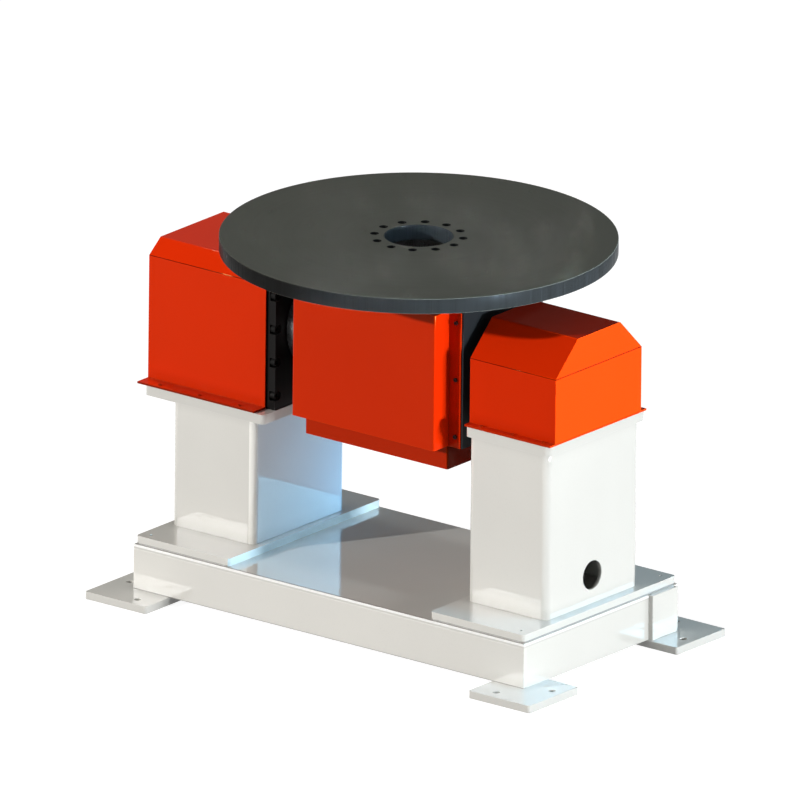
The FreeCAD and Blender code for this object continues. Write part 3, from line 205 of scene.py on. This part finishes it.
# ---------------------------------------------------------------- materials
def paint(name, colour, edge_colour, *, roughness, flat_roughness, peel, specular, corner_shade_strength,
          tint=(1, 1, 1), ior=1.6, seams=(), edge=WORN_HIGHLIT_EDGE):
    """Sprayed enamel: orange peel, a slow change of tone, patches, bright edges that are partly
    wear and partly painted highlight, and painted shade in the inside corners.

    `flat_roughness` is for faces that look up, and `peel` is the strength of the orange peel.
    `seams` gives fine lines, each by its axis, middle, half width, strength and shade; most are
    painted shade, one is a painted highlight.
    """
    g = Graph(name, IOR=ior, Metallic=0.0, Specular_IOR_Level=specular, Specular_Tint=(*tint, 1))
    tone = g.remap(g.noise(1.7, 3.0, 0.6), 0.3, 0.7, 0.0, 1.0)
    body = g.mix_colour(tone, scaled(colour, 0.955), scaled(colour, 1.02))
    speck = g.remap(g.noise(260.0, 1.0), 0.62, 0.78, 0.0, 0.35)
    body = g.mix_colour(speck, body, scaled(colour, 0.9))
    # Painted shade: the colour darkens deep in the inside corners
    corner_shading = g.math("MULTIPLY", g.corners(0.035), corner_shade_strength)
    body = g.mix_colour(corner_shading, body, scaled(colour, 0.35))
    radius, least, most = edge
    # Lighter edges: partly wear, partly painted highlight
    worn_and_highlit = g.math("MULTIPLY", g.edges(radius), g.remap(g.noise(30.0, 4.0), 0.35, 0.65, least, most))
    body = g.mix_colour(worn_and_highlit, body, edge_colour)
    for axis, middle, half_width, strength, shade in seams:
        line = g.math("MULTIPLY", g.band(axis, middle, half_width), strength)
        body = g.mix_colour(line, body, scaled(colour, shade))
    by_slope = g.remap(g.upward(), 0.6, 0.9, roughness, flat_roughness)
    patches = g.remap(g.noise(4.0, 3.0, 0.5), 0.3, 0.7, 0.85, 1.2)
    orange_peel = g.bump(g.noise(520.0, 2.0, 0.55), peel, 0.0004)
    return g.surface(body, g.math("MULTIPLY", by_slope, patches), orange_peel)


def plate_position(g):
    """Distance from the table's axis, and the level direction away from it."""
    from_axis = g.vector("SUBTRACT", g.place, (AXIS_X, AXIS_Y, 0.0))
    flat = g.vector("MULTIPLY", from_axis, (1.0, 1.0, 0.0))
    return g.vector("LENGTH", flat), g.vector("NORMALIZE", flat)


def turned_face():
    """The dark face of the table: rings from turning, with a slow cloudy tone."""
    g = Graph("faceplate_face", Specular_IOR_Level=0.05)
    radius, _ = plate_position(g)
    along = g.tree.nodes.new("ShaderNodeCombineXYZ")
    g.feed(along.inputs[0], radius)
    wide_rings = g.noise(55.0, 4.0, 0.7, along.outputs[0])
    fine_rings = g.noise(900.0, 2.0, 0.6, along.outputs[0])
    cloud = g.noise(5.0, 5.0, 0.65, distortion=0.4)
    rings = g.remap(wide_rings, 0.3, 0.7, 0.0, 1.0)
    face = g.mix_colour(rings, (0.110, 0.112, 0.095), (0.121, 0.122, 0.105))
    face = g.mix_colour(g.remap(cloud, 0.4, 0.7, 0.0, 0.5), face, (0.107, 0.109, 0.092))
    face = g.mix_colour(g.math("MULTIPLY", g.edges(0.0015), 0.5), face, (0.11, 0.12, 0.11))
    roughness = g.remap(wide_rings, 0.3, 0.7, 0.40, 0.55)
    return g.surface(face, roughness, g.bump(fine_rings, 0.10, 0.0002))


def turned_rim(name, dark, pale, specular):
    """The table's rim or bore: painted shade, darker than the steel of the face, and glossier, with
    upright streaks.
    """
    g = Graph(name, Specular_IOR_Level=specular, Specular_Tint=(0.8, 0.9, 1.0, 1))
    _, outward = plate_position(g)
    streak = g.noise(38.0, 5.0, 0.75, outward)
    sparse = g.noise(110.0, 2.0, 0.5, outward)
    rim = g.mix_colour(g.remap(streak, 0.35, 0.65, 0.0, 1.0), dark, pale)
    rim = g.mix_colour(g.remap(sparse, 0.64, 0.72, 0.0, 0.7), rim, scaled(pale, 1.7))
    # Lighter edges: partly wear, partly painted highlight
    rim = g.mix_colour(g.math("MULTIPLY", g.edges(0.0015), 0.5), rim, (0.03, 0.032, 0.032))
    roughness = g.remap(streak, 0.35, 0.65, 0.42, 0.20)
    return g.surface(rim, roughness, g.bump(sparse, 0.08, 0.0004))


def bare_metal(name, colour, roughness, grain, streak_scale):
    """Machined or blackened steel with fine tool marks, and painted shade in its inside corners."""
    g = Graph(name, Metallic=1.0)
    marks = g.noise(1.0, 3.0, 0.6, g.vector("MULTIPLY", g.place, streak_scale))
    cloud = g.remap(g.noise(22.0, 4.0, 0.6), 0.3, 0.7, 0.0, 1.0)
    body = g.mix_colour(cloud, scaled(colour, 0.85), scaled(colour, 1.1))
    # Painted shade: the colour darkens deep in the inside corners
    corner_shading = g.math("MULTIPLY", g.corners(0.006), 0.5)
    body = g.mix_colour(corner_shading, body, scaled(colour, 0.25))
    uneven = g.remap(marks, 0.3, 0.7, roughness * 0.8, roughness * 1.25)
    return g.surface(body, uneven, g.bump(marks, grain, 0.0001))


def casting(name, colour):
    """A painted casting with a pitted skin, lighter edges that are partly wear and partly painted
    highlight, and painted shade in its inside corners.
    """
    g = Graph(name, Specular_IOR_Level=0.35)
    skin = g.noise(420.0, 4.0, 0.7)
    pits = g.noise(130.0, 2.0, 0.5)
    cloud = g.remap(g.noise(9.0, 4.0, 0.6), 0.35, 0.65, 0.0, 1.0)
    body = g.mix_colour(cloud, scaled(colour, 0.88), scaled(colour, 1.08))
    # Lighter edges: partly wear, partly painted highlight
    body = g.mix_colour(g.math("MULTIPLY", g.edges(0.002), 0.5), body, scaled(colour, 1.8))
    # Painted shade: the colour darkens deep in the inside corners
    body = g.mix_colour(g.math("MULTIPLY", g.corners(0.02), 0.5), body, scaled(colour, 0.3))
    roughness = g.remap(skin, 0.3, 0.7, 0.5, 0.72)
    return g.surface(body, roughness, g.bump(skin, 0.35, 0.0003, g.bump(pits, 0.25, 0.0006)))


WHITE_ENAMEL = dict(roughness=0.04, flat_roughness=0.06, peel=0.006, specular=0.5, corner_shade_strength=0.22,
                    ior=1.8)
ORANGE_ENAMEL = dict(roughness=0.08, flat_roughness=0.1, peel=0.02, corner_shade_strength=0.3,
                     tint=(1.0, 0.35, 0.05))


def white_paint(name, seams=(), shade=1.0, edge=WORN_HIGHLIT_EDGE):
    return paint(name, scaled(WHITE, shade), (0.84, 0.84, 0.82), seams=seams, edge=edge,
                 **WHITE_ENAMEL)


def orange_paint(name, seams=(), shade=1.0, specular=0.10):
    return paint(name, scaled(ORANGE, shade), (0.85, 0.08, 0.005), seams=seams, specular=specular,
                 **ORANGE_ENAMEL)


def extent(node, axis):
    """The lowest and the highest place of a node's points along an axis."""
    places = [v.co[axis] for v in frame["nodes"][node].data.vertices]
    return min(places), max(places)


def hood_paint(node, fold_rise, edge_strength, specular=0.10):
    """A hood's enamel, with a line of painted shade along its lower fold and a dark line along the
    foot of its flange.
    """
    base, _ = extent(node, Z)
    # Painted shade along the lower fold
    fold = (Z, base + fold_rise, 0.0012, 0.9, DARK_LINE)
    flange_foot_line = (Z, base + 0.0018, 0.0030, edge_strength, DARK_LINE)
    return orange_paint(node + "_enamel", (fold, flange_foot_line), specular=specular)


def edge_paint(node, shade=1.0, edge=WORN_HIGHLIT_EDGE):
    """White enamel with a painted contact shadow: a dark line along the node's lower edge."""
    base, _ = extent(node, Z)
    return white_paint(node + "_enamel", ((Z, base, 0.0015, 0.6, DARK_LINE),), shade, edge)


def deck_paint():
    """The deck's enamel, a little darker as painted shade: a painted shade line along its front
    edge, and a painted highlight on its rounded edge.
    """
    front, _ = extent("base_deck", Y)
    _, top = extent("base_deck", Z)
    front_shade_line = (Y, front + 0.0022, 0.0022, 0.5, DARK_LINE)
    painted_highlight = (Z, top - 0.0038, 0.0028, 1.0, HIGHLIGHT_LINE)
    return white_paint("deck_shaded_enamel", (front_shade_line, painted_highlight), 0.90, FAINT_HIGHLIT_EDGE)


# The coat of each material slot
MATERIALS = {
    "white_paint": white_paint("white_enamel"),
    "orange_paint": orange_paint("orange_enamel"),
    "dark_paint": paint("dark_enamel", DARK, (0.06, 0.068, 0.078), roughness=0.34,
                        flat_roughness=0.4, peel=0.06, specular=0.08, corner_shade_strength=0.4),
    "motor_black": paint("motor_enamel", BLACK, (0.04, 0.04, 0.042), roughness=0.38,
                         flat_roughness=0.45, peel=0.12, specular=0.2, corner_shade_strength=0.4),
    "table_steel": turned_face(),
    "machined_steel": bare_metal("machined_steel", (0.50, 0.51, 0.52), roughness=0.28, grain=0.12,
                                 streak_scale=(900.0, 900.0, 60.0)),
    "screw_black": bare_metal("blackened_screws", (0.045, 0.045, 0.05), roughness=0.36, grain=0.1,
                              streak_scale=(500.0, 500.0, 500.0)),
    "cast_grey": casting("painted_casting", (0.095, 0.105, 0.112)),
}

MATT_BLACK = paint("matt_black", (0.004, 0.004, 0.004), (0.01, 0.01, 0.01), roughness=0.6,
                   flat_roughness=0.6, peel=0.1, specular=0.1, corner_shade_strength=0.2)

# Pieces with a coat of their own in place of their slot's; some are their slot's paint made darker
# as painted shade, one made lighter as painted light
OWN_AND_PAINTED_LIGHT_COATS = {
    "bearing_plate": paint("bearing_enamel", (0.009, 0.0085, 0.0085), (0.035, 0.035, 0.036),
                           roughness=0.36, flat_roughness=0.4, peel=0.06, specular=0.05, corner_shade_strength=0.3),
    "bearing_plate_screws": MATT_BLACK,
    "table_screws": MATT_BLACK,
    "hood_screws": orange_paint("screw_enamel", shade=0.5),
    # Painted shade: the tray is the orange paint made darker
    "lower_tray": orange_paint("tray_shaded_enamel", shade=0.66),
    "left_hood": hood_paint("left_hood", LEFT_FOLD, edge_strength=0.70),
    "right_hood": hood_paint("right_hood", RIGHT_FOLD, edge_strength=0.30, specular=0.04),
    # Painted shade: the front cover and the left column are their paint made darker
    "front_cover": orange_paint("cover_shaded_enamel", shade=0.90),
    "left_column": white_paint("left_column_shaded_enamel", shade=0.95),
    "left_column_foot": edge_paint("left_column_foot"),
    "right_column_foot": edge_paint("right_column_foot"),
    # Painted light: the base's front wall is the white paint made lighter
    "base_front_wall": edge_paint("base_front_wall", shade=1.04, edge=FAINT_HIGHLIT_EDGE),
    "base_deck": deck_paint(),
    # Painted shade: the head plates are the white paint made darker
    "left_head_plate": white_paint("left_head_shaded_enamel", shade=0.84),
    "right_head_plate": white_paint("right_head_shaded_enamel", shade=0.94),
}

# Coats of the table's upright faces, in the order of their slots; its face has slot 0. They are
# painted shade: the rim, the bore and the holes' walls are darker than the face's steel, the bore
# tinted blue as painted light
RIM_SLOT, BORE_SLOT, HOLE_SLOT = 1, 2, 3
TABLE_COATS = (
    turned_rim("faceplate_rim", (0.0085, 0.0085, 0.0080), (0.0140, 0.0144, 0.0148), specular=0.01),
    turned_rim("faceplate_bore", (0.026, 0.034, 0.041), (0.033, 0.043, 0.052), specular=0.2),
    paint("screw_hole", (0.008, 0.008, 0.008), (0.01, 0.01, 0.01), roughness=0.6,
          flat_roughness=0.6, peel=0.05, specular=0.05, corner_shade_strength=0.2),
)


def faces_right(normal):
    return normal.x > 0.5


def faces_front_right(normal):
    return normal.x > 0.1 and normal.y < -0.1


# Faces with another coat than the rest of their piece, painted lighter or darker as painted light
# and painted shade: the coat and a test of the face's direction
SIDE_SLOT = 1
PAINTED_LIGHT_SIDES = {
    # A painted highlight on the column's front corner, painted light on the cover's side, painted
    # shade on the tray's side, and painted blue light on the foot's edge
    "left_column": (white_paint("column_corner_painted_highlight", shade=1.4), faces_front_right),
    "front_cover": (orange_paint("cover_side_painted_light", shade=1.4), faces_right),
    "lower_tray": (orange_paint("tray_side_painted_shade", shade=0.25), faces_right),
    "left_column_foot": (paint("foot_edge_painted_blue_light", (0.64, 0.87, 1.0), (0.80, 0.95, 1.0),
                               **WHITE_ENAMEL), faces_right),
}


def dress_nodes():
    """Gives every CAD node the material of its slot or its own, then gives single faces their
    painted light and shade.
    """
    for part in frame["record"]["subparts"]:
        node = frame["nodes"][part["node"]]
        node.data.materials.clear()
        node.data.materials.append(OWN_AND_PAINTED_LIGHT_COATS.get(part["node"], MATERIALS[part["material_slot"]]))
    table = frame["nodes"]["table_plate"].data
    for coat in TABLE_COATS:
        table.materials.append(coat)
    for face in table.polygons:
        reach = math.hypot(face.center.x - AXIS_X, face.center.y - AXIS_Y)
        if abs(face.normal.z) <= UPRIGHT_UP_TO:
            inner_slot = BORE_SLOT if reach < BORE_RADIUS + BORE_TOLERANCE else HOLE_SLOT
            face.material_index = RIM_SLOT if reach > RIM_REACH else inner_slot
    for name, (coat, wanted) in PAINTED_LIGHT_SIDES.items():
        mesh = frame["nodes"][name].data
        mesh.materials.append(coat)
        for face in mesh.polygons:
            if wanted(face.normal):
                face.material_index = SIDE_SLOT


# ---------------------------------------------------------------- rounded edges
# Width of a piece's rounded edges, in millimetres
EDGE_WIDTHS = {
    "base_front_wall": 0.4, "base_rear_wall": 0.4, "base_end_walls": 0.4, "base_end_pad": 1.2,
    "foot_front_left": 1.5, "foot_front_right": 1.5, "foot_rear_left": 1.5,
    "foot_rear_right": 1.5, "left_column_foot": 1.5, "right_column_foot": 1.5, "left_column": 1.0,
    "right_column": 1.0, "left_head_plate": 1.5, "right_head_plate": 1.5, "left_hood": 0.7,
    "right_hood": 0.7, "front_cover": 0.7, "rear_cover": 0.7, "lower_tray": 0.7,
    "bearing_plate": 1.0, "bearing_plate_gussets": 1.5, "frame_left_plate": 1.2,
    "frame_right_plate": 1.2, "frame_top_plate": 1.2, "frame_bottom_plate": 1.2, "table_plate": 1.0,
}

# Points nearer than this are one point; faces within the flat angle are one face, and edges
# beyond the sharp angle are rounded
WELD_DISTANCE = 0.00001
FLAT_ANGLE = math.radians(0.3)
SHARP_ANGLE = math.radians(35)


def round_edges(name, width_mm):
    """Breaks the sharp edges of a plate or sheet."""
    node = frame["nodes"][name]
    weld = node.modifiers.new("weld", "WELD")
    weld.merge_threshold = WELD_DISTANCE
    merge = node.modifiers.new("merge", "DECIMATE")
    merge.decimate_type = "DISSOLVE"
    merge.angle_limit = FLAT_ANGLE
    bevel = node.modifiers.new("edges", "BEVEL")
    bevel.width = width_mm / 1000
    bevel.segments = 2
    bevel.limit_method = "ANGLE"
    bevel.angle_limit = SHARP_ANGLE
    bevel.harden_normals = False
    bevel.miter_outer = "MITER_ARC"
    if name == "table_plate":
        bevel.material = RIM_SLOT


# ---------------------------------------------------------------- stage and light
def mixed_by_ray(tree, dim, bright):
    """`bright` for the camera, for reflections and through glass, `dim` for the light it gives."""
    rays = tree.nodes.new("ShaderNodeLightPath")
    seen = rays.outputs["Is Camera Ray"]
    for ray in ("Is Glossy Ray", "Is Transmission Ray"):
        either = tree.nodes.new("ShaderNodeMath")
        either.operation = "MAXIMUM"
        tree.links.new(seen, either.inputs[0])
        tree.links.new(rays.outputs[ray], either.inputs[1])
        seen = either.outputs[0]
    mix = tree.nodes.new("ShaderNodeMix")
    mix.data_type = "RGBA"
    colours = [s for s in mix.inputs if s.type == "RGBA"]
    tree.links.new(seen, mix.inputs[0])
    colours[0].default_value = (*dim, 1)
    colours[1].default_value = (*bright, 1)
    return [s for s in mix.outputs if s.type == "RGBA"][0]


def make_world():
    """A studio sky: white up to just above the horizon and dim from there, for every ray."""
    white_until, dim_from = 0.03, 0.11
    world = bpy.data.worlds.new("studio")
    world.use_nodes = True
    scene.world = world
    tree = world.node_tree
    background = tree.nodes["Background"]
    toward = tree.nodes.new("ShaderNodeTexCoord").outputs["Generated"]
    split = tree.nodes.new("ShaderNodeSeparateXYZ")
    tree.links.new(toward, split.inputs[0])
    ramp = tree.nodes.new("ShaderNodeValToRGB")
    tree.links.new(split.outputs[Z], ramp.inputs[0])
    stops = ramp.color_ramp.elements
    stops[0].position, stops[0].color = white_until, (1.0, 1.0, 1.0, 1)
    stops[1].position, stops[1].color = dim_from, (*SKY, 1)
    tree.links.new(ramp.outputs[0], background.inputs["Color"])
    background.inputs["Strength"].default_value = 1.0


def make_floor():
    """A pale floor that looks white and keeps a soft shadow, just under the feet."""
    half_side, gap_below_feet = 30.0, 0.0005
    mesh = bpy.data.meshes.new("floor")
    corners = [(-half_side, -half_side, 0), (half_side, -half_side, 0),
               (half_side, half_side, 0), (-half_side, half_side, 0)]
    mesh.from_pydata(corners, [], [(0, 1, 2, 3)])
    floor = bpy.data.objects.new("floor", mesh)
    scene.collection.objects.link(floor)
    floor.location.z = -gap_below_feet
    material = bpy.data.materials.new("floor")
    material.use_nodes = True
    tree = material.node_tree
    tree.nodes.clear()
    out = tree.nodes.new("ShaderNodeOutputMaterial")
    diffuse = tree.nodes.new("ShaderNodeBsdfDiffuse")
    diffuse.inputs["Color"].default_value = (*FLOOR, 1)
    glow = tree.nodes.new("ShaderNodeEmission")
    tree.links.new(mixed_by_ray(tree, (0.0, 0.0, 0.0), FLOOR_GLOW), glow.inputs["Color"])
    both = tree.nodes.new("ShaderNodeAddShader")
    tree.links.new(diffuse.outputs[0], both.inputs[0])
    tree.links.new(glow.outputs[0], both.inputs[1])
    tree.links.new(both.outputs[0], out.inputs["Surface"])
    mesh.materials.append(material)


def lamp(name, place, target, size, level, colour, only=(), mirrored=True):
    """A round lamp: a white face turned to it at the target renders at `level` of full white.

    It lights everything or the nodes in `only`, and it shows in reflections if it is mirrored.
    """
    place, target = Vector(place), Vector(target)
    away = place - target
    data = bpy.data.lights.new(name, "AREA")
    data.shape = "DISK"
    data.size = size
    data.color = colour
    data.energy = level * math.pi ** 2 * away.length_squared
    light = bpy.data.objects.new(name, data)
    scene.collection.objects.link(light)
    light.location = place
    light.rotation_mode = "QUATERNION"
    light.rotation_quaternion = away.to_track_quat("Z", "Y")
    light.visible_camera = False
    light.visible_glossy = mirrored
    if only:
        lit = bpy.data.collections.new(name + "_lit")
        for node in only:
            lit.objects.link(frame["nodes"][node])
        light.light_linking.receiver_collection = lit


def far_lamp(name, toward, distance, size, level, colour, only=()):
    """A lamp a long way off, in a direction seen from the machine's middle."""
    target = Vector((0.1, -0.1, 0.7))
    place = target + Vector(toward).normalized() * distance
    lamp(name, place, target, size, level, colour, only)


def make_lamps():
    """Key lamp, side lamp and two glares for all pieces, then lamps that lift single pieces."""
    # Name, direction, distance, size, level, colour, and the only nodes that it lights
    far_lamp("front_left", (-0.508, -0.815, 0.278), 12.0, 0.3, 0.79, WARM_LIGHT)
    far_lamp("right", (0.999, 0.0, 0.04), 8.0, 0.8, 0.98, (0.94, 0.985, 1.0))
    far_lamp("front_glare", (-0.5835, -0.7475, 0.3175), 30.0, 4.0, 0.042, (1.0, 1.0, 1.0))
    far_lamp("rear_glare", (0.5835, 0.7475, 0.3175), 30.0, 4.0, 0.05, (0.45, 0.78, 1.0))
    lamp("column_blue", place=(-0.05, 0.46, 0.17), target=(-0.356, 0.15, 0.3), size=0.2, level=1.3,
         colour=(0.17, 0.54, 1.0), only=("left_column",), mirrored=False)
    far_lamp("rim_blue", (0.99, -0.12, -0.07), 8.0, 1.0, 7.5, (0.70, 0.87, 1.0), ("table_plate",))
    far_lamp("table_blue", (0.90, -0.10, 0.42), 8.0, 0.5, 0.30, (0.6, 0.85, 1.0), ("table_plate",))
    far_lamp("right_tops", (0.35, 0.12, 0.93), 8.0, 1.0, 0.24, (0.30, 0.72, 1.0),
             ("right_column_foot", "foot_front_right", "foot_rear_right"))
    far_lamp("hood_roof", (-0.60, 0.20, 0.75), 8.0, 1.0, 0.42, WARM_LIGHT, ("left_hood",))
    far_lamp("left_tops", (-0.60, 0.20, 0.75), 8.0, 1.0, 0.16, (0.94, 1.0, 1.0),
             ("foot_front_left",))
    far_lamp("hood_end", (1.0, 0.0, 0.0), 8.0, 1.0, 3.0, (0.5, 1.0, 0.1), ("right_hood",))


make_camera()
make_world()
make_floor()
make_lamps()
dress_nodes()
for piece, width in EDGE_WIDTHS.items():
    round_edges(piece, width)
